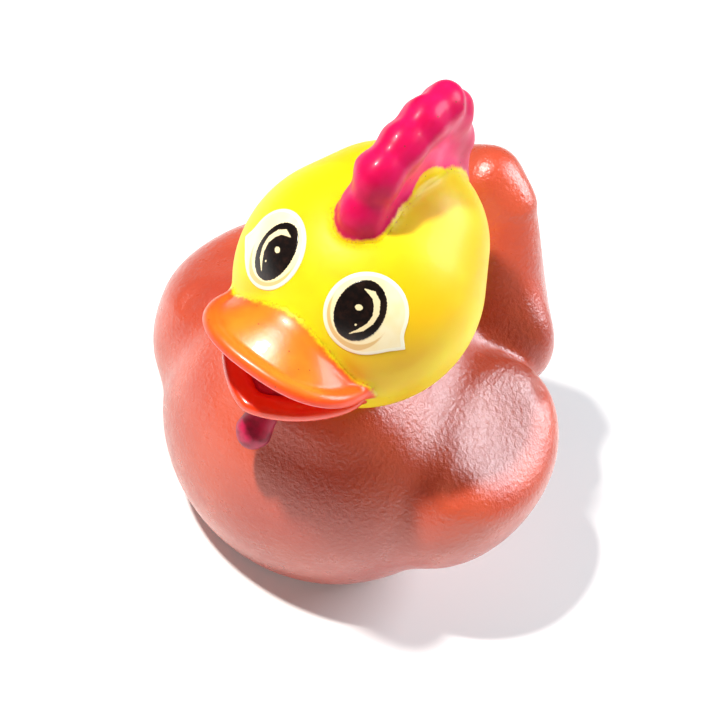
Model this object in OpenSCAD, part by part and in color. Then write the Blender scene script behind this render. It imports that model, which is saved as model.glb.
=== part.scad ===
// Hollow vinyl squeak toy: a bath duck dressed as a rooster.
// Millimetres. The bird faces -Y, +Z is up and its left side is +X.
// The flat base lies on z = 0.

/* [Body] */
// Half width of the body without its wings
body_half_w = 35; // [34:0.5:37]
// Half length of the body without tail and chest
body_half_l = 34.5; // [33.5:0.5:36]
// Half height of the body
body_half_h = 27; // [26:0.5:28]
// Thickness of the vinyl
wall = 2.2; // [1.8:0.1:2.6]
// Height of the tail's middle lobe at its centre
tail_top = 72.5; // [70:0.5:75]
// Slope of the wings, rising to the rear, in degrees
wing_slope = 33; // [28:1:36]

/* [Head] */
// Radius of the head over the cheeks
head_r = 23.8; // [23.2:0.1:24.4]
// Radius of the crown
crown_r = 19.6; // [18.8:0.1:20.2]
// Distance from the cheeks' centre to the crown's centre
crown_rise = 8.5; // [8:0.1:9]
// Lean of the crown to the rear, in degrees
crown_lean = 45; // [40:1:50]
// Height of the head's centre above the base
head_z = 73; // [72.5:0.1:73.5]
// Distance of the head's centre in front of the middle
head_fwd = 16.3; // [16:0.1:16.6]

/* [Neck joint] */
// Radius of the bore in the neck collar
neck_bore_r = 10; // [9:0.1:10.5]
// Gap between the turning neck plug and its bore
neck_clear = 0.06; // [0.03:0.01:0.1]
// Gap between the head and the seat in the body
seat_clear = 0.4; // [0.3:0.05:0.6]

/* [Face] */
// Half width of the upper bill
bill_r = 16.7; // [16.2:0.1:17.2]
// Lift of the upper bill's tip, in degrees
bill_lift = 18; // [15:1:20]
// Half width of the lower bill
jaw_r = 15.2; // [14.6:0.1:15.6]
// Droop of the lower bill, in degrees
jaw_open = 11; // [9:1:13]
// Thickness of the comb
comb_t = 7; // [6:0.1:8]
// Thickness of each printed film
film = 0.35; // [0.25:0.05:0.5]
// Turn of each eye away from straight ahead, in degrees
eye_yaw = 28; // [26:0.5:30]
// Height of each eye above the horizon of the head, in degrees
eye_rise = 29.5; // [27:0.5:31]

/* [Squeaker] */
// Radius of the squeaker cup
cup_r = 8; // [7:0.1:8.5]
// Height of the squeaker cup
cup_h = 9; // [8.5:0.1:9.5]
// Length of the reed's free tongue
reed_l = 7.4; // [6.8:0.1:7.6]
// Width of the reed
reed_w = 2.6; // [2:0.1:3]

/* [Hidden] */
$fn = 72;
eps = 0.01;

// Shift that centres the whole bird on the origin
body_y = 3.45;

head_c = [0, body_y - head_fwd, head_z];

// Neck sizes, measured from the head's centre
seat_r = head_r + seat_clear;
plug_r = neck_bore_r - neck_clear;
collar_bottom = -28.7;
flange_top = collar_bottom - 0.4;
flange_h = 2.8;
flange_r = neck_bore_r + 1.6;

// Mouth sizes, measured from the head's centre
bill_at = [0, -18.9, -4.6];
lip_r = 1.4;
jaw_at = [0, -16.5, -9.8];
jaw_rim = 3.8;

// Squeaker heights above the base
cup_z = 0.8;
cup_wall = 1.1;
plate_z = cup_z + 3.6;
plate_h = 1.2;
reed_gap = 0.45;
reed_t = 0.3;
reed_z = plate_z + plate_h + reed_gap;
cap_h = 1.5;
cap_z = cup_z + cup_h - cap_h;

// Star centre that sees the whole body surface, and the ray grid
star = [0, 20 + body_y, 30];
around = 56;
crown_rings = 15;
side_rings = 25;
crown_angle = 40;

// ---- Field functions: negative inside, zero on the surface ----

function blend(a, b, k) =
  let (h = max(k - abs(a - b), 0) / k)
  min(a, b) - h * h * k / 4;

function blend_cut(a, b, k) = -blend(-a, -b, k);

function ellipsoid_field(p, c, r) =
  let (q = p - c)
  let (k0 = norm([q.x / r.x, q.y / r.y, q.z / r.z]))
  let (k1 = norm([q.x / (r.x * r.x), q.y / (r.y * r.y), q.z / (r.z * r.z)]))
  k0 * (k0 - 1) / max(k1, 1e-6);

function cone_field(p, a, b, ra, rb) =
  let (ab = b - a)
  let (t = min(max((p - a) * ab / (ab * ab), 0), 1))
  norm(p - a - t * ab) - ra - (rb - ra) * t;

function tilt_x(p, c, deg) =
  let (q = p - c)
  c + [q.x, q.y * cos(deg) + q.z * sin(deg), q.z * cos(deg) - q.y * sin(deg)];

function mirrored(p) = [abs(p.x), p.y, p.z];

trunk_c = [0, 0, 27];
chest_c = [0, -10.3, 24.2];
neck_c = [0, -15, 46];
rump_c = [0, 27.8, 42.5];
wing_c = [28.1, -0.4, 33];
foot_c = [0, 0.7, 9];
tail_root = [0, 30, 45];

function trunk_field(q) =
  let (trunk = ellipsoid_field(q, trunk_c, [body_half_w, body_half_l, body_half_h]))
  let (chest = ellipsoid_field(q, chest_c, [31.6, 27.2, 30.7]))
  let (foot = ellipsoid_field(q, foot_c, [28.4, 27.7, 13]))
  let (rump = ellipsoid_field(q, rump_c, [28.5, 11.9, 18.3]))
  let (neck = ellipsoid_field(q, neck_c, [17.5, 16.5, 9.5]))
  blend(blend(blend(blend(trunk, chest, 12), foot, 6), rump, 8), neck, 6);

function tail_field(q) =
  let (middle = cone_field(q, tail_root, [0, 30.5, tail_top], 12, 7.4))
  let (side = cone_field(q, tail_root + [9.3, 0, 0], [7.8, 29.9, tail_top - 1.8], 14.4, 4.9))
  blend(middle, side, 5);

function body_field(p) =
  let (q = mirrored(p - [0, body_y, 0]))
  let (wing = ellipsoid_field(tilt_x(q, wing_c, wing_slope), wing_c, [17.4, 24.2, 18.9]))
  let (whole = blend(blend(trunk_field(q), wing, 3), tail_field(q), 3))
  blend_cut(whole, -q.z - 0.4, 3);

// Distance from the star centre to the surface offset inwards by inset
function reach(dir, inset, lo = 6, hi = 70, n = 14) =
  let (mid = (lo + hi) / 2)
  n == 0 ? mid
  : body_field(star + mid * dir) + inset > 0 ? reach(dir, inset, lo, mid, n - 1)
  : reach(dir, inset, mid, hi, n - 1);

function ring_angle(i) =
  i <= crown_rings ? crown_angle * i / crown_rings
  : crown_angle + (180 - crown_angle) * (i - crown_rings) / side_rings;

function direction(polar, turn) = [sin(polar) * cos(turn), sin(polar) * sin(turn), cos(polar)];

function star_points(inset, step) =
  let (last = crown_rings + side_rings)
  [
    star + reach([0, 0, 1], inset) * [0, 0, 1],
    for (i = [step : step : last - step], j = [0 : step : around - 1])
      let (dir = direction(ring_angle(i), 360 * j / around))
      star + reach(dir, inset) * dir,
    star + reach([0, 0, -1], inset) * [0, 0, -1]
  ];

function star_faces(rings, cols) =
  [
    for (j = [0 : cols - 1]) [0, 1 + (j + 1) % cols, 1 + j],
    for (i = [0 : rings - 2], j = [0 : cols - 1], k = [0, 1])
      let (a = 1 + i * cols + j)
      let (b = 1 + i * cols + (j + 1) % cols)
      k == 0 ? [a, b, b + cols] : [a, b + cols, a + cols],
    for (j = [0 : cols - 1])
      let (a = 1 + (rings - 1) * cols)
      [1 + rings * cols, a + j, a + (j + 1) % cols]
  ];

module star_solid(inset, step) {
  rings = (crown_rings + side_rings) / step - 1;
  polyhedron(points = star_points(inset, step), faces = star_faces(rings, around / step));
}

// ---- Shared shapes ----

// Egg made of two spheres and the cone that touches both
function egg_profile(grow) =
  let (r1 = head_r + grow, r2 = crown_r + grow)
  let (slope = asin((r1 - r2) / crown_rise))
  [
    for (a = [-90 : 5 : slope - 1]) [r1 * cos(a), r1 * sin(a)],
    for (a = [slope : (90 - slope) / 12 : 89.9]) [r2 * cos(a), crown_rise + r2 * sin(a)],
    [0, crown_rise + r2]
  ];

module egg(grow = 0) {
  rotate([-crown_lean, 0, 0])
    rotate_extrude()
      polygon([for (p = egg_profile(grow)) [max(p.x, 0), p.y]]);
}

module at_head() {
  translate(head_c) children();
}

module neck_seat_wall() {
  at_head() {
    sphere(seat_r + wall);
    translate([0, 0, collar_bottom]) cylinder(r = neck_bore_r + 3.4, h = 8);
  }
}

module squeaker_boss() {
  translate([0, 0, -1]) cylinder(r = cup_r + 3, h = cup_z + cup_h + 1);
}

// ---- Body ----

module body_shell() {
  color([0.86, 0.47, 0.38])
  difference() {
    star_solid(0, 1);
    difference() {
      star_solid(wall, 2);
      neck_seat_wall();
      squeaker_boss();
    }
    at_head() sphere(seat_r);
    at_head() translate([0, 0, collar_bottom - 5]) cylinder(r = neck_bore_r, h = 12);
    translate([0, 0, -2]) cylinder(r = cup_r, h = cup_z + cup_h + 6);
    translate([-60, -60, -10]) cube([120, 120, 10]);
  }
}

module squeaker_cup() {
  color([0.93, 0.93, 0.9])
  translate([0, 0, cup_z])
  difference() {
    cylinder(r = cup_r, h = cup_h);
    translate([0, 0, 1.2]) cylinder(r = cup_r - cup_wall - 1, h = cup_h);
    translate([0, 0, plate_z - cup_z]) cylinder(r = cup_r - cup_wall, h = cup_h);
    translate([0, 0, -1]) cylinder(r = 1.6, h = 3);
  }
}

module reed_plate() {
  color([0.8, 0.8, 0.78])
  translate([0, 0, plate_z])
  difference() {
    cylinder(r = cup_r - cup_wall, h = plate_h);
    translate([-reed_w / 2 - 0.5, -reed_l / 2 + 0.3, -1]) cube([reed_w + 1, reed_l + 0.4, plate_h + 2]);
  }
}

module squeaker_reed() {
  color([0.85, 0.7, 0.3])
  translate([-reed_w / 2, -reed_l / 2 - 1.6, reed_z]) cube([reed_w, reed_l + 1.6, reed_t]);
}

module squeaker_cap() {
  color([0.93, 0.93, 0.9])
  translate([0, 0, cap_z])
  difference() {
    union() {
      cylinder(r = cup_r - cup_wall, h = cap_h);
      clamp_bottom = reed_z + reed_t + reed_gap - cap_z;
      translate([-2, -cup_r + 2.4, clamp_bottom]) cube([4, 1.9, -clamp_bottom + 0.5]);
    }
    for (a = [30, 90, 150])
      rotate(a) translate([4, 0, -1]) cylinder(r = 1.1, h = cap_h + 2);
  }
}

// ---- Head ----

module head_shell() {
  color([1, 0.88, 0.12])
  at_head()
  difference() {
    union() {
      egg();
      translate([0, 0, flange_top - flange_h])
        cylinder(r = plug_r, h = -flange_top + flange_h - head_r + wall + 1);
      translate([0, 0, flange_top - flange_h])
        cylinder(r1 = plug_r, r2 = flange_r, h = flange_h - 0.8);
      translate([0, 0, flange_top - 0.8]) cylinder(r = flange_r, h = 0.8);
    }
    egg(-wall);
    translate([0, 0, flange_top - flange_h - 1]) cylinder(r = plug_r - wall, h = 14);
  }
}

// Lobes of the comb: y and z from the head's centre, and radius
comb_lobes = [[-9.6, 23.4, 4.3], [-8.2, 31.6, 4.4], [-2.6, 35.4, 4.2], [3.2, 38, 4.3],
              [8.8, 38.8, 4.1], [14.4, 34.6, 3.9], [19.6, 25.6, 3.8], [23.2, 15.6, 3.7]];

// Fills the notch between two neighbouring lobes to within 0.7 mm of their tops
module comb_web(a, b) {
  span = [b.x - a.x, b.y - a.y];
  half = min(a[2], b[2]) - 0.7;
  translate([a.x, a.y, 0]) rotate(atan2(span.y, span.x))
    translate([0, -half, 0.5]) cube([norm(span), 2 * half, comb_t - 1]);
}

module comb_blade() {
  rotate([90, 0, 90]) translate([0, 0, -comb_t / 2]) {
    linear_extrude(comb_t) polygon(concat([for (l = comb_lobes) [l.x, l.y]], [[14, 12], [-4, 14]]));
    for (l = comb_lobes) translate([l.x, l.y, 0]) cylinder(r = l[2], h = comb_t);
    for (i = [1 : len(comb_lobes) - 1]) comb_web(comb_lobes[i - 1], comb_lobes[i]);
  }
}

module comb() {
  color([0.91, 0.13, 0.4])
  at_head()
  difference() {
    comb_blade();
    egg();
  }
}

// Rounded lip, then the dome that rises to the forehead
function bill_profile(r) =
  [
    [0, -lip_r], [r - lip_r, -lip_r],
    for (a = [-60 : 30 : 60]) [r - lip_r + lip_r * cos(a), lip_r * sin(a)],
    [r - 1.6, 1.7], [r - 3, 3.9], [r - 4.7, 5.8], [r - 6.5, 7.3], [r - 8, 8.3], [0, 11]
  ];

module bill_solid() {
  translate(bill_at) rotate([-bill_lift, 0, 0]) rotate_extrude() polygon(bill_profile(bill_r));
}

module upper_bill() {
  color([1, 0.5, 0.15])
  at_head()
  difference() {
    bill_solid();
    egg();
  }
}

// Outline of the lower bill: wide at the corners of the mouth and narrow at the tip
function jaw_outline(r) =
  [for (a = [0 : 5 : 355])
    r * [sign(cos(a)) * pow(abs(cos(a)), 1.36), sign(sin(a)) * pow(abs(sin(a)), 1.36)]];

module jaw_slab(r, low, high) {
  translate([0, 0, low]) linear_extrude(high - low) polygon(jaw_outline(r));
}

module at_jaw() {
  translate(jaw_at) rotate([jaw_open, 0, 0]) children();
}

// Shallow dish with a raised rim
module jaw_solid() {
  at_jaw()
  difference() {
    union() {
      jaw_slab(jaw_r, -1.2, 1.5);
      intersection() {
        jaw_slab(jaw_r, -5, 0);
        translate([0, 0, 25.8]) sphere(30);
      }
    }
    jaw_slab(jaw_r - jaw_rim, 0.4, 3);
  }
}

module lower_bill() {
  color([0.95, 0.2, 0.1])
  at_head()
  difference() {
    jaw_solid();
    egg();
  }
}

module mouth_lining() {
  color([0.62, 0.02, 0.2])
  at_head()
  difference() {
    union() {
      at_jaw() jaw_slab(jaw_r - jaw_rim, 0.4, 1.2);
      intersection() {
        egg(0.6);
        at_jaw() translate([0, 0, 0.5]) cylinder(r = jaw_r - 2.6, h = 8);
      }
    }
    egg();
    jaw_solid();
    bill_solid();
  }
}

module wattle() {
  color([0.72, 0.02, 0.27])
  at_head()
  difference() {
    translate([0, -18.5, -13.6]) rotate([-27, 0, 0]) {
      mirror([0, 0, 1]) cylinder(r1 = 2.2, r2 = 2.9, h = 13.4);
      translate([0, 0, -13.4]) sphere(2.9);
    }
    jaw_solid();
    egg();
  }
}

// ---- Printed eyes ----

module at_eye(yaw) {
  at_head() rotate([0, 0, yaw]) rotate([-eye_rise, 0, 0]) rotate([90, 0, 0]) children();
}

// Film on the cheeks' sphere, between two of its layers
module eye_film(yaw, inner, outer) {
  intersection() {
    at_head() difference() {
      sphere(outer);
      sphere(inner);
    }
    at_eye(yaw)
      for (i = [0 : $children - 1])
        linear_extrude(40) children(i);
  }
}

module eye_white_left() {
  color([1, 0.96, 0.82])
  eye_film(eye_yaw, head_r, head_r + film) {
    translate([1.2, -0.4]) circle(7.6);
    polygon([[5, 6], [6.9, 0], [9.9, -5], [2, -7.8]]);
  }
}

module eye_pupil_left() {
  color([0.08, 0.05, 0.04])
  eye_film(eye_yaw, head_r + film, head_r + 2 * film)
    rotate(-10) {
      translate([0, 1.25]) circle(4.45);
      translate([0, -1.25]) circle(4.45);
      square([8.9, 2.5], center = true);
    }
}

module eye_white_right() {
  mirror([1, 0, 0]) eye_white_left();
}

module eye_pupil_right() {
  mirror([1, 0, 0]) eye_pupil_left();
}

body_shell();
squeaker_cup();
reed_plate();
squeaker_reed();
squeaker_cap();
head_shell();
comb();
upper_bill();
lower_bill();
mouth_lining();
wattle();
eye_white_left();
eye_white_right();
eye_pupil_left();
eye_pupil_right();
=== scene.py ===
"""Looks of a hollow vinyl squeak toy: a bath duck dressed as a rooster.

Every shape is a field: a function of points, in millimetres in the part's frame, that is negative
inside and zero on the surface. surface() meshes a field. A paint mask is a field too: its value is
stored at each vertex, and the material decides from it where one colour ends and the next begins.
"""
import math

import bpy
import numpy as np
from mathutils import Matrix, Vector


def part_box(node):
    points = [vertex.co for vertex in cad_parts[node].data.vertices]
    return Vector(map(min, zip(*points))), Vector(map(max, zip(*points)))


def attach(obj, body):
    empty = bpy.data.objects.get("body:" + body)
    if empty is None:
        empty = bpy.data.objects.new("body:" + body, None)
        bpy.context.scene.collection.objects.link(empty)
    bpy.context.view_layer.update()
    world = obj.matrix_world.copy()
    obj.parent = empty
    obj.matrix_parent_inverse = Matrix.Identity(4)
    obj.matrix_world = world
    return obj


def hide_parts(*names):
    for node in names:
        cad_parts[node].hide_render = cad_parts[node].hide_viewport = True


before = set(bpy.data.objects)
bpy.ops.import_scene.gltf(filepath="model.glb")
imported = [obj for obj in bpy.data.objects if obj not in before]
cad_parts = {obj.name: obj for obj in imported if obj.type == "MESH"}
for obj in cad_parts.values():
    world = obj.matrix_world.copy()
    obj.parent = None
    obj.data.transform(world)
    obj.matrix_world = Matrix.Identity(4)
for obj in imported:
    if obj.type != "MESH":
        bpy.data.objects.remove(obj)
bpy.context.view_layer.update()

MM = 0.001


def box_mm(node):
    low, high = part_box(node)
    return np.array(low) / MM, np.array(high) / MM


def polar(azimuth, elevation):
    """Unit vector: azimuth from the front (-Y) towards the bird's left (+X), in degrees."""
    a, e = math.radians(azimuth), math.radians(elevation)
    return np.array([math.sin(a) * math.cos(e), -math.cos(a) * math.cos(e), math.sin(e)])


# ---- Sizes, from the frame where the frame has them ----

WALL = 2.2
BODY_Y = 3.45

head_low, head_high = box_mm("head_shell")
HEAD_R = head_high[0]
HEAD_Y = head_low[1] + HEAD_R
CROWN_REACH = head_high[1] - HEAD_Y
HEAD = np.array([0, HEAD_Y, head_high[2] - CROWN_REACH])
CROWN_RISE = 8.5
CROWN_WAY = np.array([0, 1, 1]) / math.sqrt(2)
CROWN = HEAD + CROWN_RISE * CROWN_WAY
CROWN_R = CROWN_REACH - CROWN_RISE * CROWN_WAY[2]

SEAT_CLEAR = 0.4
SEAT_R = HEAD_R + SEAT_CLEAR
PLUG_R = 9.9
BORE_R = 10.04
COLLAR_BOTTOM = -28.7
FLANGE_TOP = COLLAR_BOTTOM - SEAT_CLEAR
FLANGE_R = 11.6
PLUG_BOTTOM = head_low[2] - HEAD[2]

_, cup_high = box_mm("squeaker_cup")
CUP_R = cup_high[0]

_, bill_high = box_mm("upper_bill")
BILL_R = bill_high[0]
BILL = HEAD + [0, -18.9, -4.6]
BILL_LIFT = 18
LIP_R = 1.4
BILL_RISE = 6.9

_, jaw_high = box_mm("lower_bill")
JAW_R = jaw_high[0]
JAW = HEAD + [0, -16.5, -9.8]
JAW_OPEN = 11
JAW_RIM = 5.0

EYE_YAW, EYE_RISE = 28, 29.5


# ---- Field functions ----

def blend(a, b, k):
    """Smooth union: the two meet in a fillet about k wide."""
    h = np.maximum(k - np.abs(a - b), 0) / k
    return np.minimum(a, b) - h * h * k / 4


def carve(a, b, k=0.0):
    """Smooth intersection of a and b."""
    return -blend(-a, -b, k) if k else np.maximum(a, b)


def length(v):
    return np.sqrt((v * v).sum(-1))


def ellipsoid(p, centre, radii):
    q = (p - np.asarray(centre, float)) / radii
    k0 = length(q)
    k1 = length(q / radii)
    return k0 * (k0 - 1) / np.maximum(k1, 1e-6)


def cone(p, a, b, radius_a, radius_b):
    """Round-ended cone from a to b."""
    a, b = np.asarray(a, float), np.asarray(b, float)
    t = np.clip((p - a) @ (b - a) / ((b - a) @ (b - a)), 0, 1)
    return length(p - a - t[:, None] * (b - a)) - radius_a - (radius_b - radius_a) * t


def tilted(p, centre, degrees):
    """Points seen by a shape that is turned about X through centre, rear end up."""
    a = math.radians(degrees)
    q = p - centre
    y = q[:, 1] * math.cos(a) + q[:, 2] * math.sin(a)
    z = q[:, 2] * math.cos(a) - q[:, 1] * math.sin(a)
    return np.stack([q[:, 0], y, z], 1) + centre


def mirrored(p):
    return np.stack([np.abs(p[:, 0]), p[:, 1], p[:, 2]], 1)


def upright(p, centre):
    """Distance from the vertical axis through centre, and height above centre."""
    q = p - centre
    return np.hypot(q[:, 0], q[:, 1]), q[:, 2]


def drum(radius, height, r, low, high, k=0.5):
    """Cylinder of radius r between two heights, from a distance to the axis and a height."""
    return carve(carve(radius - r, low - height, k), height - high, k)


def ripple(p, wavelength, seed):
    """Soft random waves between -1 and 1, the same on every run."""
    draw = np.random.default_rng(seed)
    total = np.zeros(len(p))
    for _ in range(6):
        way = draw.normal(size=3)
        way *= 2 * math.pi / wavelength / np.linalg.norm(way)
        total += np.sin(p @ way + draw.uniform(0, 2 * math.pi))
    return total / 6


# ---- Body ----

# Centre, half sizes, and width of the fillet that joins each part of the trunk to the ones before
TRUNK = [((0, 0, 27), (35, 34.5, 27), 0),
         ((0, -10.3, 24.2), (31.6, 27.2, 30.7), 12),   # chest
         ((0, 0.7, 9), (28.4, 27.7, 13), 6),           # foot
         ((0, 27.8, 42.5), (28.5, 11.9, 18.3), 8),     # rump
         ((0, -15, 46), (17.5, 16.5, 9.5), 6)]         # mound under the neck
WING_AT, WING_HALF, WING_SLOPE = np.array([28.1, -0.4, 33]), (17.4, 24.2, 18.9), 33
TAIL_LOBE_FILLET = 5
HOLLOW_AT, HOLLOW_R = (55.4, -5, 99.9), 60             # ball that hollows the top of the wing
# Axis of the groove along the wing's upper edge, just above the skin
WING_CREASE = [(34.6, -18, 42.8), (36.6, -9.6, 48.4), (36.8, 0, 52), (36.6, 9, 51.4), (33.6, 17, 48.4)]


def body_outer(p):
    q = mirrored(p - np.array([0, BODY_Y, 0]))
    trunk = ellipsoid(q, *TRUNK[0][:2])
    for centre, half, fillet in TRUNK[1:]:
        trunk = blend(trunk, ellipsoid(q, centre, half), fillet)
    wing = ellipsoid(tilted(q, WING_AT, WING_SLOPE), WING_AT, WING_HALF)
    tail = cone(q, [0, 30, 45], [0, 30.5, 72.5], 12, 7.4)
    tail = blend(tail, cone(q, [9.3, 30, 45], [7.8, 29.9, 70.7], 14.4, 4.9), TAIL_LOBE_FILLET)
    whole = blend(blend(trunk, wing, 3), tail, 3)
    whole = carve(whole, HOLLOW_R - length(q - HOLLOW_AT), 7)
    groove = np.min([cone(q, a, b, 2.2, 2.2) for a, b in zip(WING_CREASE, WING_CREASE[1:])], 0)
    whole = carve(whole, -groove, 2.4)
    return carve(whole, -q[:, 2] - 0.4, 3)


def body_field(p):
    outer = body_outer(p)
    from_head = length(p - HEAD)
    radius, height = upright(p, HEAD)
    base_radius, base_height = upright(p, np.zeros(3))
    cavity = np.maximum(outer + WALL, SEAT_R + WALL - from_head)
    cavity = carve(cavity, -drum(radius, height, BORE_R + 3.4, COLLAR_BOTTOM, COLLAR_BOTTOM + 8), 0.6)
    cavity = carve(cavity, -drum(base_radius, base_height, CUP_R + 3, -5, cup_high[2]), 0.6)
    skin = carve(carve(outer, -p[:, 2], 0.8), SEAT_R - from_head, 1.2)
    skin = carve(skin, -cavity, 0.4)
    skin = carve(skin, -drum(radius, height, BORE_R, COLLAR_BOTTOM - 5, COLLAR_BOTTOM + 12), 0.5)
    return carve(skin, -drum(base_radius, base_height, CUP_R, -5, cup_high[2] + 4), 0.4)


# ---- Head with comb and bill: one moulding, divided where the paint changes ----

def egg(p, grow=0.0):
    """Two spheres, cheeks and crown, with the cone that touches both."""
    axis = CROWN - HEAD
    span = axis @ axis
    taper = HEAD_R - CROWN_R
    flank = span - taper * taper
    q = p - HEAD
    along = q @ axis
    beyond = along - span
    across = ((q * span - along[:, None] * axis) ** 2).sum(-1)
    turn = taper * taper * across
    cone_part = (np.sqrt(across * flank / span) + along * taper) / span - HEAD_R
    crown = np.sqrt(across + beyond ** 2 * span) / span - CROWN_R
    cheeks = np.sqrt(across + along ** 2 * span) / span - HEAD_R
    out = np.where(np.sign(beyond) * flank * beyond ** 2 * span > turn, crown, cone_part)
    out = np.where(np.sign(along) * flank * along ** 2 * span < turn, cheeks, out)
    return out - grow


# Lobes along the comb's edge, from its foot over the crest to the rear: y and z from the head's
# centre, and radius
COMB_LOBES = [(-9.6, 23.4, 4.3), (-8.2, 31.6, 4.4), (-2.6, 35.4, 4.2), (3.2, 38, 4.3),
              (8.8, 38.8, 4.1), (14.4, 34.6, 3.9), (19.6, 25.6, 3.8), (23.2, 15.6, 3.7)]
COMB_EDGE_LINE = [(y, z) for y, z, _ in COMB_LOBES]
BLADE_HALF = 3.2


def outline_distance(u, v, corners):
    """Signed distance to a closed outline in a plane."""
    distance, inside = np.full(len(u), np.inf), np.zeros(len(u), bool)
    for (au, av), (bu, bv) in zip(corners, corners[1:] + corners[:1]):
        eu, ev, du, dv = bu - au, bv - av, u - au, v - av
        t = np.clip((du * eu + dv * ev) / (eu * eu + ev * ev), 0, 1)
        distance = np.minimum(distance, np.hypot(du - t * eu, dv - t * ev))
        if av != bv:
            inside ^= ((av > v) != (bv > v)) & (u < eu * dv / ev + au)
    return np.where(inside, -distance, distance)


def comb_field(p):
    """Thick lobed edge around a thinner blade."""
    q = p - HEAD
    outline = COMB_EDGE_LINE + [(12, 10), (-4, 12)]
    blade = carve(np.abs(q[:, 0]) - BLADE_HALF, outline_distance(q[:, 1], q[:, 2], outline), 1.5)
    edge = None
    squeezed = q * [1.16, 1, 1]
    for (ya, za, ra), (yb, zb, rb) in zip(COMB_LOBES, COMB_LOBES[1:]):
        part = cone(squeezed, [0, ya, za], [0, yb, zb], ra - 0.35, rb - 0.35)
        edge = part if edge is None else np.minimum(edge, part)
    for y, z, r in COMB_LOBES:
        edge = blend(edge, length(squeezed - [0, y, z]) - r, 1.6)
    return blend(blade, edge, 3.0) + 0.3 * ripple(q, 6.5, 3)


def bill_frame(p):
    """Distance from the upper bill's own axis in a squarish measure, height above the middle
    of its lip, and how far round to the side the point lies, from 0 in front to 1."""
    q = tilted(p, BILL, -BILL_LIFT) - BILL
    radius = np.hypot(q[:, 0], q[:, 1])
    square = (np.abs(q[:, 0]) ** 2.5 + np.abs(q[:, 1]) ** 2.5 + 1e-3) ** 0.4
    return square, q[:, 2], (q[:, 0] / np.maximum(radius, 1)) ** 2


def upper_bill_field(p):
    radius, height, side = bill_frame(p)
    rise = np.clip((height - LIP_R) / BILL_RISE, -0.3, 1.4)
    slope = BILL_R - 2.4 - (5.4 + 2.6 * side) * rise - 1.2 * rise * np.abs(rise)
    dome = (radius - slope) * 0.8
    dome = carve(carve(dome, 1.0 - LIP_R - height, 1.2), height - 11, 1)
    lip = np.hypot(radius - (BILL_R - LIP_R), height) - LIP_R
    return blend(dome, lip, 1.0)


def jaw_frame(p):
    """Distance outside the lower bill's pointed outline, and height above its rim's middle."""
    q = tilted(p, JAW, JAW_OPEN) - JAW
    power = 2 / 1.36
    x, y = np.abs(q[:, 0]) + 1e-3, np.abs(q[:, 1]) + 1e-3
    size = (x ** power + y ** power) ** (1 / power)
    steep = np.hypot(x ** (power - 1), y ** (power - 1)) * size ** (1 - power)
    return (size - JAW_R) / np.maximum(steep, 0.2), q[:, 2]


def lower_bill_field(p):
    outside, height = jaw_frame(p)
    rim = np.hypot(np.maximum(np.abs(outside + 1.9) - 0.6, 0), height) - 1.3
    q = tilted(p, JAW, JAW_OPEN) - JAW
    bowl = carve(length(q - [0, 0, 25.8]) - 30, outside + 0.6, 1)
    bowl = carve(bowl, height - 0.4, 0.6)
    return blend(rim, bowl, 1.6)


BILL_EDGE = 1.6
COMB_EDGE = 2.4
PIECE_LAP = 1.0
PIECE_DEPTH = 0.7
PROUD = 0.05


def moulding(p):
    """Outer skin of the whole head, and the fields of its bill and comb."""
    bill, comb = upper_bill_field(p), comb_field(p)
    skin = blend(blend(egg(p), bill, 2.2), comb, 3.0)
    return skin, bill, comb


def head_field(p):
    skin, bill, comb = moulding(p)
    inside = egg(p) + PIECE_DEPTH + 0.1
    radius, height = upright(p, HEAD)
    plug = drum(radius, height, PLUG_R, PLUG_BOTTOM, -HEAD_R + WALL + 1)
    ramp = radius - PLUG_R - (height - PLUG_BOTTOM) * (FLANGE_R - PLUG_R) / 2
    flange = np.maximum(drum(radius, height, FLANGE_R, PLUG_BOTTOM, FLANGE_TOP), ramp)
    skin = blend(skin, plug, 0.8)
    skin = np.minimum(skin, flange)
    skin = carve(skin, -np.maximum(bill - BILL_EDGE + 1.5 * PIECE_LAP, -inside))
    skin = carve(skin, -np.maximum(comb - COMB_EDGE + 1.5 * PIECE_LAP, -inside))
    skin = carve(skin, -egg(p, -WALL), 0.6)
    return carve(skin, -drum(radius, height, PLUG_R - WALL, PLUG_BOTTOM - 5, -HEAD_R + WALL + 4), 0.5)


def painted_part(skin, own, edge, p):
    """The piece of the head's moulding within edge of one of its parts. It is a hair proud of the
    head and dives under the head's skin near its border, so that the border can't be seen."""
    dive = np.clip((own - edge + PIECE_LAP) / PIECE_LAP, 0, 1) * 0.35
    return np.maximum(np.maximum(skin - PROUD + dive, own - edge), -(egg(p) + PIECE_DEPTH))


def comb_piece(p):
    skin, _, comb = moulding(p)
    return painted_part(skin, comb, COMB_EDGE, p)


def bill_piece(p):
    skin, bill, _ = moulding(p)
    return painted_part(skin, bill, BILL_EDGE, p)


def jaw_piece(p):
    skin = blend(lower_bill_field(p), egg(p), 1.0)
    skin = np.maximum(skin - 0.03, lower_bill_field(p) - 0.8)
    return np.maximum(skin, -(egg(p) + PIECE_DEPTH))


def lining_piece(p):
    """Mouth paint: a skin in the jaw's dish and on the cheek between the bills."""
    outside, height = jaw_frame(p)
    dish = np.maximum(outside + JAW_RIM - 0.2, np.abs(height - 0.5) - 0.5)
    tongue = ellipsoid(tilted(p, JAW, JAW_OPEN), JAW + [0, -3, 0.4], [4.6, 7.5, 1.5])
    dish = blend(dish, tongue, 1.5)
    back = np.maximum(np.abs(egg(p) - 0.2) - 0.3, -lower_bill_field(p) - 0.6)
    back = np.maximum(back, -upper_bill_field(p) - 0.4)
    back = np.maximum(back, length((tilted(p, JAW, JAW_OPEN) - JAW)[:, :2]) - (JAW_R - 0.8))
    back = np.maximum(back, np.maximum(0.2 - height, height - 8))
    return np.maximum(blend(dish, back, 0.5), -(egg(p) + 0.5))


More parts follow.
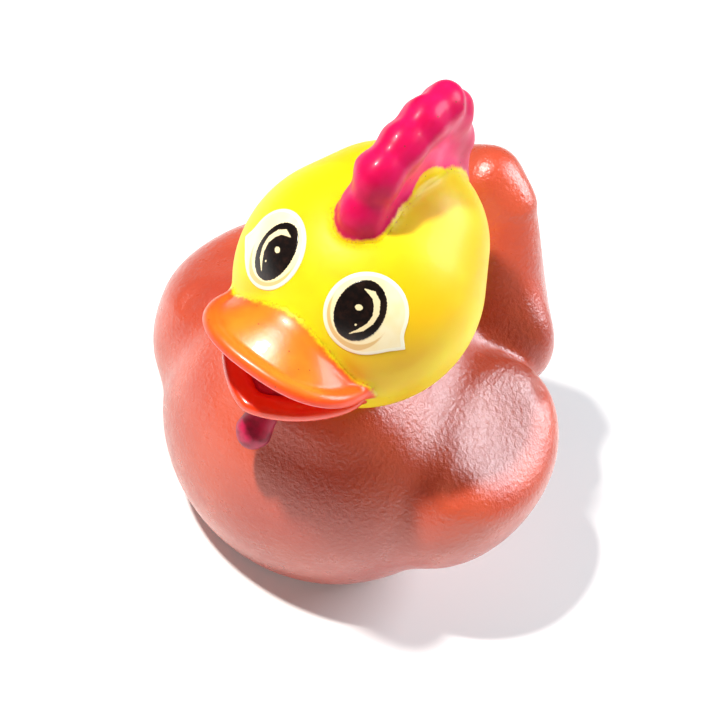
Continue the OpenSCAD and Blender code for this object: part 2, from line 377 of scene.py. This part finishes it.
WATTLE_ROOT = HEAD + [0, -18.5, -13.6]
WATTLE_LEAN, WATTLE_LENGTH = 27, 12.6


def wattle_piece(p):
    root, lean = WATTLE_ROOT, math.radians(WATTLE_LEAN)
    way = np.array([0, -math.sin(lean), -math.cos(lean)])
    tip = root + WATTLE_LENGTH * way
    flat = (p - root) * [0.85, 1, 1] + root
    blob = blend(cone(flat, root, tip, 2.0, 2.8), cone(flat, tip, tip + 1.6 * way, 2.2, 1.3), 2)
    groove = cone(p, root + [0.5, -3.2, 0], tip + [0.9, -3.4, 2], 0.9, 0.9)
    blob = carve(blob, -groove, 1.2)
    return np.maximum(np.maximum(blob, -(egg(p) + 0.3)), -(lower_bill_field(p) + 0.3))


# ---- Meshing ----

def surface_nets(field, low, high, step):
    """One vertex per grid cell that the surface crosses, one quad per crossed grid edge."""
    axes = [np.arange(low[i], high[i] + step, step) for i in range(3)]
    count = [len(a) for a in axes]
    value = np.empty(count)
    plane = np.stack(np.meshgrid(axes[1], axes[2], indexing="ij"), -1).reshape(-1, 2)
    for i, x in enumerate(axes[0]):
        value[i] = field(np.column_stack([np.full(len(plane), x), plane])).reshape(count[1:])
    inside = value < 0

    corners = [np.array([i, j, k]) for i in (0, 1) for j in (0, 1) for k in (0, 1)]
    cells_shape = [n - 1 for n in count]
    filled = sum(inside[c[0]:c[0] + cells_shape[0], c[1]:c[1] + cells_shape[1],
                        c[2]:c[2] + cells_shape[2]].astype(int) for c in corners)
    crossed = (filled > 0) & (filled < 8)
    cells = np.argwhere(crossed)
    index = np.full(cells_shape, -1)
    index[crossed] = np.arange(len(cells))

    total, hits = np.zeros((len(cells), 3)), np.zeros(len(cells))
    for a in corners:
        for b in corners:
            if (b - a).sum() != 1 or (b - a).min() < 0:
                continue
            va, vb = value[tuple((cells + a).T)], value[tuple((cells + b).T)]
            cut = (va < 0) != (vb < 0)
            t = np.where(cut, va / np.where(cut, va - vb, 1), 0)
            total[cut] += (a + t[:, None] * (b - a))[cut]
            hits[cut] += 1
    verts = np.array([a[0] for a in axes]) + (cells + total / hits[:, None]) * step

    quads = []
    for axis in range(3):
        side = [i for i in range(3) if i != axis]
        here, there = [slice(None)] * 3, [slice(None)] * 3
        here[axis], there[axis] = slice(0, -1), slice(1, None)
        edge = np.argwhere(inside[tuple(here)] != inside[tuple(there)])
        edge = edge[(edge[:, side] > 0).all(1) & (edge[:, side] < np.array(count)[side] - 1).all(1)]
        u, v = np.eye(3, dtype=int)[side[0]], np.eye(3, dtype=int)[side[1]]
        quad = np.stack([index[tuple(c.T)] for c in (edge, edge - u, edge - u - v, edge - v)], 1)
        keep_order = inside[tuple(edge.T)] ^ (axis == 1)
        quad[~keep_order] = quad[~keep_order][:, ::-1]
        quads.append(quad)
    return verts, np.concatenate(quads)


def settle(field, verts, step, rounds=3):
    """Moves the vertices onto the surface along the field's slope."""
    reach = 0.02
    for _ in range(rounds):
        slope = np.stack([field(verts + d) - field(verts - d) for d in np.eye(3) * reach], 1)
        slope /= 2 * reach
        move = -(field(verts) / np.maximum((slope ** 2).sum(1), 0.05))[:, None] * slope
        far = np.maximum(length(move) / (0.4 * step), 1)
        verts = verts + move / far[:, None]
    return verts


def add_object(name, verts, faces, masks, material):
    """Mesh object in metres from points in millimetres, smooth, with one float per vertex per mask."""
    mesh = bpy.data.meshes.new(name)
    mesh.from_pydata((verts * MM).tolist(), [], faces.tolist() if hasattr(faces, "tolist") else faces)
    mesh.validate()
    mesh.shade_smooth()
    for mask, field in (masks or {}).items():
        attribute = mesh.attributes.new(mask, "FLOAT", "POINT")
        attribute.data.foreach_set("value", field(verts).astype(np.float32))
    mesh.materials.append(material)
    piece = bpy.data.objects.new(name, mesh)
    bpy.context.scene.collection.objects.link(piece)
    return piece


def surface(name, field, node, step, material, masks=None):
    """Meshes a field inside the box around a CAD node."""
    margin = 4 * step + 2.5
    low, high = box_mm(node)
    low, high = low - margin, high + margin
    verts, quads = surface_nets(field, low, high, step)
    return add_object(name, settle(field, verts, step), quads, masks, material)


# ---- Materials ----

def srgb(code):
    """Linear colour from six hex digits."""
    parts = [int(code[i:i + 2], 16) / 255 for i in (0, 2, 4)]
    return [c / 12.92 if c <= 0.04045 else ((c + 0.055) / 1.055) ** 2.4 for c in parts] + [1.0]


class Paint:
    """One procedural material, built from short node calls. Lengths are in millimetres."""

    def __init__(self, name, roughness, coat=0.0, coat_roughness=0.08, ior=1.5,
                 coat_ior=1.5, subsurface=0.0):
        self.material = bpy.data.materials.new(name)
        self.material.use_nodes = True
        self.tree = self.material.node_tree
        self.shader = self.tree.nodes["Principled BSDF"]
        self.shader.inputs["Roughness"].default_value = roughness
        self.shader.inputs["Coat Weight"].default_value = coat
        self.shader.inputs["Coat Roughness"].default_value = coat_roughness
        self.shader.inputs["IOR"].default_value = ior
        self.shader.inputs["Coat IOR"].default_value = coat_ior
        if subsurface:
            self.shader.inputs["Subsurface Weight"].default_value = subsurface
            self.shader.inputs["Subsurface Radius"].default_value = (1.0, 0.45, 0.25)
            self.shader.inputs["Subsurface Scale"].default_value = 3 * MM
        self.place = self.node("ShaderNodeTexCoord").outputs["Object"]

    def node(self, kind, inputs=None, **settings):
        made = self.tree.nodes.new(kind)
        for key, value in settings.items():
            setattr(made, key, value)
        for key, value in (inputs or {}).items():
            self.feed(made.inputs[key], value)
        return made

    def feed(self, socket, value):
        if isinstance(value, bpy.types.NodeSocket):
            self.tree.links.new(value, socket)
        else:
            socket.default_value = value

    def noise(self, size, detail=2.0, roughness=0.5):
        made = self.node("ShaderNodeTexNoise", {"Vector": self.place, "Scale": 1 / (size * MM),
                                                "Detail": detail, "Roughness": roughness})
        return made.outputs["Fac"]

    def cells(self, size):
        made = self.node("ShaderNodeTexVoronoi", {"Vector": self.place, "Scale": 1 / (size * MM)})
        return made.outputs["Distance"]

    def mask(self, name):
        return self.node("ShaderNodeAttribute", attribute_name=name).outputs["Fac"]

    def math(self, operation, a, b=0.0, c=0.0):
        return self.node("ShaderNodeMath", {0: a, 1: b, 2: c}, operation=operation).outputs[0]

    def step(self, value, low, high, out_low=0.0, out_high=1.0):
        """Smooth step of a value from low to high."""
        made = self.node("ShaderNodeMapRange", {"Value": value, "From Min": low, "From Max": high,
                                                "To Min": out_low, "To Max": out_high},
                         interpolation_type="SMOOTHSTEP")
        return made.outputs["Result"]

    def mix(self, amount, a, b):
        made = self.node("ShaderNodeMix", {"Factor": amount}, data_type="RGBA")
        self.feed(made.inputs[6], a)
        self.feed(made.inputs[7], b)
        return made.outputs[2]

    def colour(self, value):
        self.feed(self.shader.inputs["Base Color"], value)

    def roughness(self, value):
        self.feed(self.shader.inputs["Roughness"], value)

    def bump(self, height, depth, below=None):
        """Relief of a height from 0 to 1, depth in millimetres."""
        inputs = {"Height": height, "Distance": depth * MM, "Strength": 1.0}
        if below is not None:
            inputs["Normal"] = below
        normal = self.node("ShaderNodeBump", inputs).outputs["Normal"]
        self.feed(self.shader.inputs["Normal"], normal)
        self.feed(self.shader.inputs["Coat Normal"], normal)
        return normal


YELLOW, YELLOW_DEEP = srgb("FFDD12"), srgb("FBC60A")
ORANGE, ORANGE_RED = srgb("FD8A1F"), srgb("F9481A")
# The comb's deep magenta is painted shade.
# The comb's pink is painted light.
MAGENTA, MAGENTA_SHADE, PINK_LIT = srgb("E2175F"), srgb("A50733"), srgb("FF2E7A")
SALMON, SALMON_DEEP = srgb("CD5539"), srgb("A0342A")


def body_material():
    paint = Paint("body_vinyl", 0.34, ior=1.35, coat=0.9, coat_roughness=0.25, coat_ior=1.6,
                  subsurface=0.06)
    cloud = paint.step(paint.noise(14, 3), 0.35, 0.7)
    colour = paint.mix(cloud, SALMON, srgb("C24930"))
    colour = paint.mix(paint.step(paint.noise(34, 2), 0.4, 0.65, 0.0, 0.3), colour, SALMON_DEEP)
    paint.colour(colour)
    paint.roughness(paint.step(paint.noise(3.5, 3), 0.3, 0.7, 0.26, 0.42))
    normal = paint.bump(paint.noise(0.9, 4, 0.62), 0.2)
    paint.bump(paint.noise(5, 2, 0.5), 0.12, below=normal)
    return paint.material


def speckled_edge(paint, distance, edge, soft, spread):
    """1 on the painted side of a sprayed edge: a ragged line, then a dust of specks beyond it."""
    ragged = paint.math("SUBTRACT", paint.math("ADD", paint.noise(1.1, 5, 0.7), distance), 0.5)
    solid = paint.step(ragged, edge - soft, edge + soft, 1.0, 0.0)
    near = paint.step(distance, edge, edge + spread, 1.0, 0.0)
    specks = paint.step(paint.noise(0.5, 2, 0.6), 0.60, 0.66)
    dust = paint.math("MULTIPLY", paint.math("MULTIPLY", near, near), specks)
    return paint.math("MAXIMUM", solid, paint.math("MULTIPLY", dust, 0.65))


def moulding_material(name, roughness, coat, ior=1.5):
    """Yellow vinyl with sprayed bill and comb. Needs all the masks in moulding_masks."""
    paint = Paint(name, roughness, ior=ior, coat=coat, coat_roughness=0.06, subsurface=0.45)
    cloud = paint.step(paint.noise(16, 2), 0.35, 0.65)
    colour = paint.mix(cloud, YELLOW, YELLOW_DEEP)
    comb_colour = paint.mix(paint.step(paint.noise(5, 3), 0.35, 0.7), MAGENTA, srgb("D40F52"))
    # Painted shade: the comb's magenta turns deep red near its border with the head, along the comb's
    # foot.
    foot = paint.step(paint.mask("to_comb"), -1.0, 1.2, 0.0, 0.5)
    comb_colour = paint.mix(foot, comb_colour, MAGENTA_SHADE)
    # Painted light: a lighter pink on the comb's flat sides, inward from its lobed edge, stands in for
    # light shining through the thin blade and falling on its flanks.
    thin = paint.step(paint.mask("comb_depth"), 1.5, 5.5, 0.0, 0.8)
    comb_colour = paint.mix(thin, comb_colour, PINK_LIT)
    on_comb = speckled_edge(paint, paint.mask("to_comb"), 1.0, 0.35, 2.2)
    colour = paint.mix(on_comb, colour, comb_colour)
    lip = paint.mask("lip")
    orange = paint.mix(paint.step(paint.noise(6, 3), 0.35, 0.7), ORANGE, srgb("F97A1C"))
    orange = paint.mix(paint.step(paint.mask("bill_side"), 0.3, 0.95, 0.0, 0.7), orange, ORANGE_RED)
    orange = paint.mix(paint.step(lip, -0.8, 2.6, 1.0, 0.0), orange, ORANGE_RED)
    seam = paint.step(paint.math("ABSOLUTE", paint.math("ADD", lip, 0.9)), 0.10, 0.24, 1.0, 0.0)
    orange = paint.mix(paint.math("MULTIPLY", seam, 0.75), orange, srgb("FF7F8C"))
    colour = paint.mix(speckled_edge(paint, paint.mask("to_bill"), 0.5, 0.25, 1.6), colour, orange)
    dirt = paint.step(paint.cells(2.4), 0.05, 0.075, 1.0, 0.0)
    to_either = paint.math("MINIMUM", paint.mask("to_comb"), paint.mask("to_bill"))
    nearby = paint.step(to_either, 1.0, 4.0, 0.8, 0.0)
    colour = paint.mix(paint.math("MULTIPLY", dirt, nearby), colour, srgb("5A3A12"))
    paint.colour(colour)
    paint.bump(paint.noise(1.6, 3, 0.5), 0.035)
    return paint.material


def simple_material(name, light, dark, size, roughness, coat=0.0, bump_size=1.0, bump_depth=0.03):
    """Two close colours in soft clouds, with a fine relief."""
    paint = Paint(name, roughness, coat=coat)
    paint.colour(paint.mix(paint.step(paint.noise(size, 3), 0.35, 0.68), light, dark))
    paint.bump(paint.noise(bump_size, 3, 0.55), bump_depth)
    return paint.material


def jaw_material():
    paint = Paint("bill_red", 0.24, coat=0.5, coat_roughness=0.05, subsurface=0.4)
    rim = paint.mask("rim")
    colour = paint.mix(paint.step(paint.noise(5, 3), 0.35, 0.7), srgb("FF4A1E"), srgb("F93A18"))
    colour = paint.mix(paint.step(paint.mask("inward"), 2.4, 4.4, 0.0, 0.85), colour, srgb("D8101E"))
    seam = paint.step(paint.math("ABSOLUTE", paint.math("ADD", rim, 1.1)), 0.10, 0.22, 1.0, 0.0)
    colour = paint.mix(paint.math("MULTIPLY", seam, 0.7), colour, srgb("FF7D83"))
    paint.colour(colour)
    paint.bump(paint.noise(1.6, 3, 0.5), 0.03)
    return paint.material


def eye_white_material():
    paint = Paint("eye_white_ink", 0.3, coat=0.3, coat_roughness=0.1)
    rim = paint.mask("rim")
    colour = paint.mix(paint.step(paint.noise(4, 2), 0.35, 0.7), srgb("FFF3C9"), srgb("FCEBB4"))
    beige = paint.step(paint.mask("beige"), -0.15, 0.15, 1.0, 0.0)
    colour = paint.mix(beige, colour, srgb("E6C27E"))
    colour = paint.mix(paint.step(rim, -0.75, -0.6, 0.0, 0.8), colour, srgb("FFFDE6"))
    paint.colour(colour)
    paint.bump(paint.noise(0.7, 3), 0.02)
    return paint.material


def eye_black_material():
    paint = Paint("eye_black_ink", 0.28, coat=0.25, coat_roughness=0.1)
    colour = paint.mix(paint.step(paint.noise(1.2, 4, 0.7), 0.4, 0.75), srgb("0D0605"), srgb("2A1711"))
    ragged = paint.math("MULTIPLY", paint.math("SUBTRACT", paint.noise(0.35, 3, 0.7), 0.5), 0.3)
    for mask in ("crescent", "dot"):
        shape = paint.step(paint.math("ADD", paint.mask(mask), ragged), -0.05, 0.05, 1.0, 0.0)
        colour = paint.mix(shape, colour, srgb("F3E3B4"))
    paint.colour(colour)
    paint.bump(paint.noise(0.5, 3), 0.015)
    return paint.material


# ---- Eyes: printed films on the cheeks ----

def white_outline(u, v):
    """Round patch with a pointed outer corner, in the eye's own plane."""
    q = np.stack([u, v, 0 * u], 1)
    patch = length(q - [1.2, -0.4, 0]) - 7.6
    corner = outline_distance(u, v, [(2, -7.5), (6.4, 4.2), (8.3, -1.4), (9.9, -5.1), (5.5, -6.6)])
    return blend(patch, corner, 0.8)


def pupil_turned(u, v):
    a = math.radians(10)
    return u * math.cos(a) - v * math.sin(a), u * math.sin(a) + v * math.cos(a)


def pupil_outline(u, v):
    x, y = pupil_turned(u, v)
    return ellipsoid(np.stack([x, y, 0 * x], 1), [0, 0, 0], [4.45, 5.75, 1])


# Crescent of light in the pupil: its outer and then its inner side
CRESCENT = [(-0.4, 4.05), (1.5, 4.05), (2.8, 2.65), (3.3, 0.45), (2.8, -1.55), (1.5, -3.25),
            (-0.7, -4.45), (0.4, -3.45), (1.8, -1.85), (2.4, -0.15), (2.1, 1.65), (1.4, 2.95)]


def crescent_mask(u, v):
    return outline_distance(u, v, CRESCENT) - 0.08


def dot_mask(u, v):
    big = np.hypot((u + 0.45) / 1.25, v - 0.65) - 0.55
    return np.minimum(big, np.hypot(u + 0.1, v + 2.55) - 0.2)


def beige_mask(u, v):
    """Beige crescent on the white, under and in front of the pupil."""
    q = np.stack([u, v, 0 * u], 1)
    outer = ellipsoid(q, [-0.2, -1.3, 0], [5.6, 6.3, 1])
    inner = ellipsoid(q, [0.3, 0.3, 0], [5.6, 6.5, 1])
    return np.maximum(outer, -inner)


def outline_reach(outline, angles):
    """Distance from the eye's middle to the outline in each direction, by bisection."""
    low, high = np.zeros(len(angles)), np.full(len(angles), 16.0)
    for _ in range(30):
        middle = (low + high) / 2
        outside = outline(middle * np.cos(angles), middle * np.sin(angles)) > 0
        low, high = np.where(outside, low, middle), np.where(outside, middle, high)
    return low


def eye_film(name, side, outline, base, thickness, material, masks, ragged=0.0):
    """Thin domed patch on the cheek: rings out to the outline, then a rounded edge down into it."""
    around, rings = 360, 36
    angles = np.linspace(0, 2 * math.pi, around, endpoint=False)
    reach = outline_reach(outline, angles)
    waves = np.stack([np.cos(angles), np.sin(angles), 0 * angles], 1) * 8
    reach = reach + ragged * ripple(waves, 0.9, 5)
    normal = polar(EYE_YAW, EYE_RISE)
    across = np.array([math.cos(math.radians(EYE_YAW)), math.sin(math.radians(EYE_YAW)), 0])
    up = np.cross(normal, across)
    levels = [(s, 0.0) for s in np.linspace(0, 1, rings)[1:-1]]
    levels += [(1 - 0.010, 0.15), (1 - 0.003, 0.45), (1.0, 1.0), (1.0, 2.2)]
    points, flat = [[0.0, 0.0, 0.0]], [[0.0, 0.0]]
    for s, drop in levels:
        for a, r in zip(angles, reach * s):
            points.append([r * math.cos(a), r * math.sin(a), drop])
            flat.append([r * math.cos(a), r * math.sin(a)])
    points, flat = np.array(points), np.array(flat)
    ball = HEAD_R + base + thickness * (1 - points[:, 2])
    depth = np.sqrt(ball ** 2 - points[:, 0] ** 2 - points[:, 1] ** 2)
    verts = HEAD + points[:, :1] * across + points[:, 1:2] * up + depth[:, None] * normal
    faces = [[0, 1 + j, 1 + (j + 1) % around] for j in range(around)]
    for i in range(len(levels) - 1):
        for j in range(around):
            a, b = 1 + i * around + j, 1 + i * around + (j + 1) % around
            faces.append([a, a + around, b + around, b])
    faces.append([1 + (len(levels) - 1) * around + j for j in reversed(range(around))])
    if side < 0:
        verts = verts * [-1, 1, 1]
        faces = [list(reversed(f)) for f in faces]
    stored = {key: (lambda values: lambda _: values)(field(flat[:, 0], flat[:, 1]))
              for key, field in masks.items()}
    return add_object(name, verts, faces, stored, material)


# ---- Pieces ----

def to_comb(p):
    """The comb's paint, which stops short of the comb's foot in the middle of its side."""
    y = p[:, 1] - HEAD[1]
    shy = 2.6 * np.exp(-((y - 5) / 5) ** 2)
    return np.maximum(comb_field(p), 1.0 + shy - egg(p))


def lip_height(p):
    return bill_frame(p)[1]


def bill_side(p):
    return bill_frame(p)[2]


def comb_depth(p):
    """Distance in from the comb's lobed edge, seen from the side."""
    q = p - HEAD
    return -outline_distance(q[:, 1], q[:, 2], COMB_EDGE_LINE)


moulding_masks = {"to_bill": upper_bill_field, "to_comb": to_comb, "lip": lip_height,
                  "bill_side": bill_side, "comb_depth": comb_depth}

body = surface("body_skin", body_field, "body_shell", 0.9, body_material())
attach(body, "duck_body")
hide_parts("body_shell")

head = surface("head_skin", head_field, "head_shell", 0.6,
               moulding_material("head_vinyl", 0.45, 0.04, 1.36), moulding_masks)
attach(head, "head")
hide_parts("head_shell")

comb = surface("comb_skin", comb_piece, "comb", 0.4,
               moulding_material("comb_vinyl", 0.34, 0.06, 1.22), moulding_masks)
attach(comb, "head")
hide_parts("comb")

bill = surface("upper_bill_skin", bill_piece, "upper_bill", 0.4,
               moulding_material("bill_orange", 0.36, 0.2, 1.45), moulding_masks)
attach(bill, "head")
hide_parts("upper_bill")


def jaw_rim_height(p):
    return jaw_frame(p)[1]


def jaw_inward(p):
    outside, height = jaw_frame(p)
    return np.where(height > -1.0, -outside - 1.4, -1.0)


jaw = surface("lower_bill_skin", jaw_piece, "lower_bill", 0.4, jaw_material(),
              {"rim": jaw_rim_height, "inward": jaw_inward})
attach(jaw, "head")
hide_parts("lower_bill")

lining = surface("mouth_skin", lining_piece, "mouth_lining", 0.35,
                 simple_material("mouth_magenta", srgb("C80F4C"), srgb("A80A3C"), 3, 0.4, coat=0.1))
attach(lining, "head")
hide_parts("mouth_lining")

wattle = surface("wattle_skin", wattle_piece, "wattle", 0.3,
                 simple_material("wattle_magenta", srgb("BE0C4A"), srgb("8C0630"), 2.5, 0.45, coat=0.1))
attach(wattle, "head")
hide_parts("wattle")

white_ink, black_ink = eye_white_material(), eye_black_material()
for side, word in ((1, "left"), (-1, "right")):
    white = eye_film("eye_white_print_" + word, side, white_outline, 0.0, 0.14, white_ink,
                     {"rim": white_outline, "beige": beige_mask})
    pupil = eye_film("eye_pupil_print_" + word, side, pupil_outline, 0.12, 0.12, black_ink,
                     {"crescent": crescent_mask, "dot": dot_mask}, ragged=0.10)
    for piece, node, slot in ((white, "eye_white_", "eye_white_ink"),
                              (pupil, "eye_pupil_", "eye_black_ink")):
        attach(piece, "head")
        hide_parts(node + word)

plastic = simple_material("squeaker_plastic", srgb("F1EFE6"), srgb("E2DFD2"), 3, 0.45, bump_depth=0.02)
reed_film = simple_material("reed_film", srgb("D9B257"), srgb("C49A3E"), 2, 0.3, bump_depth=0.01)
for node in ("squeaker_cup", "reed_plate", "squeaker_cap", "squeaker_reed"):
    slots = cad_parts[node].material_slots
    slots[0].material = reed_film if node == "squeaker_reed" else plastic


# ---- Floor, light and camera ----

MIDDLE_HEIGHT = 0.045

def plain_floor():
    size, steps = 3.0, 40
    verts, faces = [], []
    for i in range(steps + 1):
        for j in range(steps + 1):
            verts.append([(i / steps - 0.5) * size, (j / steps - 0.5) * size, 0.0])
    for i in range(steps):
        for j in range(steps):
            a = i * (steps + 1) + j
            faces.append([a, a + steps + 1, a + steps + 2, a + 1])
    paint = Paint("floor_white", 0.7)
    paint.colour(paint.mix(paint.step(paint.noise(60, 2), 0.3, 0.7), srgb("E8E7E6"), srgb("E4E3E2")))
    paint.feed(paint.shader.inputs["Emission Color"], srgb("FFFFFF"))
    paint.feed(paint.shader.inputs["Emission Strength"], 0.14)
    mesh = bpy.data.meshes.new("floor")
    mesh.from_pydata(verts, [], faces)
    mesh.materials.append(paint.material)
    floor = bpy.data.objects.new("floor", mesh)
    bpy.context.scene.collection.objects.link(floor)


def area_light(name, direction, distance, size, power, colour):
    """Round light that faces the bird's middle. Metres and watts."""
    data = bpy.data.lights.new(name, "AREA")
    data.shape = "DISK"
    data.size = size
    data.energy = power
    data.color = colour
    light = bpy.data.objects.new(name, data)
    light.location = Vector((0, 0, MIDDLE_HEIGHT)) + Vector(direction) * distance
    light.rotation_euler = Vector(direction).to_track_quat("Z", "Y").to_euler()
    bpy.context.scene.collection.objects.link(light)


plain_floor()
area_light("key", polar(318, 61), 0.7, 0.05, 7.2, (1.0, 0.97, 0.93))
area_light("window", polar(140, 36), 0.6, 0.36, 3.9, (0.86, 0.93, 1.0))
area_light("fill", polar(72, 18), 0.8, 0.5, 0.4, (1.0, 0.60, 0.34))

world = bpy.data.worlds.new("studio")
world.use_nodes = True
world.node_tree.nodes["Background"].inputs["Color"].default_value = (1.0, 0.99, 0.99, 1)
world.node_tree.nodes["Background"].inputs["Strength"].default_value = 0.05
bpy.context.scene.world = world

# The view: a three-quarter look from above with the camera rolled, at the bird's middle
CAMERA_AZIMUTH, CAMERA_HEIGHT, CAMERA_ROLL = 21.45, 43.66, 20.39
CAMERA_DISTANCE = 0.3899
FOCAL, SENSOR = 95.7, 36
AIM_RIGHT, AIM_ABOVE = -0.00201, -0.00352
towards = Vector(polar(CAMERA_AZIMUTH, CAMERA_HEIGHT))
level = Vector(polar(CAMERA_AZIMUTH + 90, 0))
upward = towards.cross(level)
roll = math.radians(CAMERA_ROLL)
right = math.cos(roll) * level + math.sin(roll) * upward
above = -math.sin(roll) * level + math.cos(roll) * upward
aim = Vector((0, BODY_Y * MM, MIDDLE_HEIGHT)) + AIM_RIGHT * right + AIM_ABOVE * above

lens = bpy.data.cameras.new("camera")
lens.lens = FOCAL
lens.sensor_width = SENSOR
lens.clip_start, lens.clip_end = 0.01, 20
camera = bpy.data.objects.new("camera", lens)
camera.matrix_world = Matrix.Translation(aim + CAMERA_DISTANCE * towards) @ Matrix(
    (right, above, towards)).transposed().to_4x4()
bpy.context.scene.collection.objects.link(camera)
bpy.context.scene.camera = camera
bpy.context.scene.view_settings.view_transform = "Standard"
